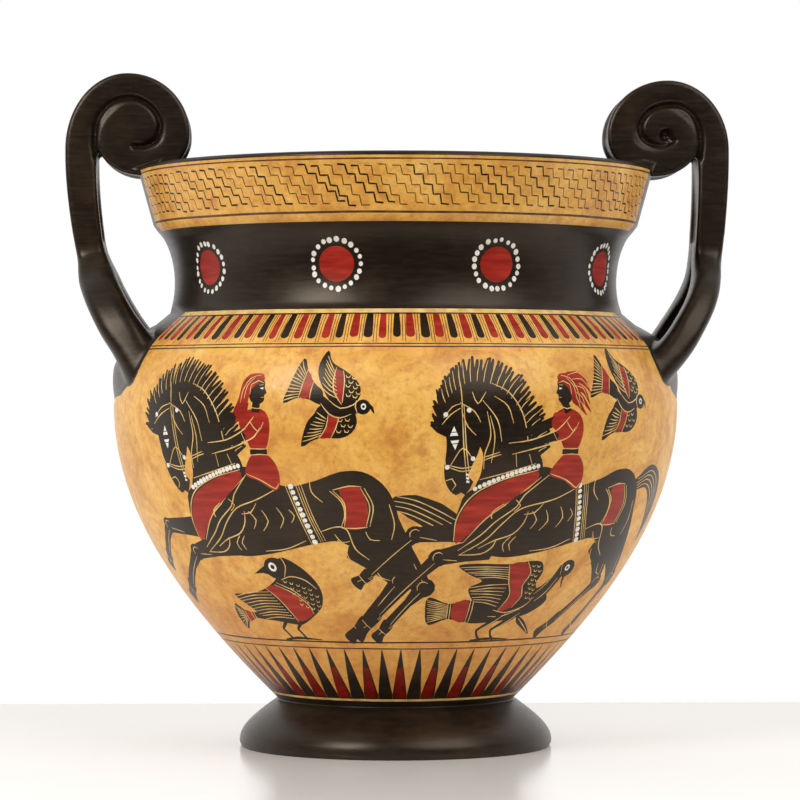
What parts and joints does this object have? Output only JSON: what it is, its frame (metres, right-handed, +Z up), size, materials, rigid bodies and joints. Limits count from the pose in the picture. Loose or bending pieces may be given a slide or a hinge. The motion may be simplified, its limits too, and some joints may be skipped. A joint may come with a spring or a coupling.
{
  "type": "volute krater",
  "caption": "Painted clay volute krater on a moulded foot, in black-figure style, with flanged handles that coil on the rim.",
  "frame": {"origin": "middle of the foot's underside, on the surface that the vessel stands on", "axes": "+X towards the right handle, +Y away from the front painted face, +Z up along the turned axis"},
  "size_m": [0.3292, 0.2808, 0.3338],
  "materials": {
    "painted_clay": "hand-painted fired clay under a satin varnish"
  },
  "bodies": {
    "root": {"krater": "painted_clay"}
  },
  "joints": []
}
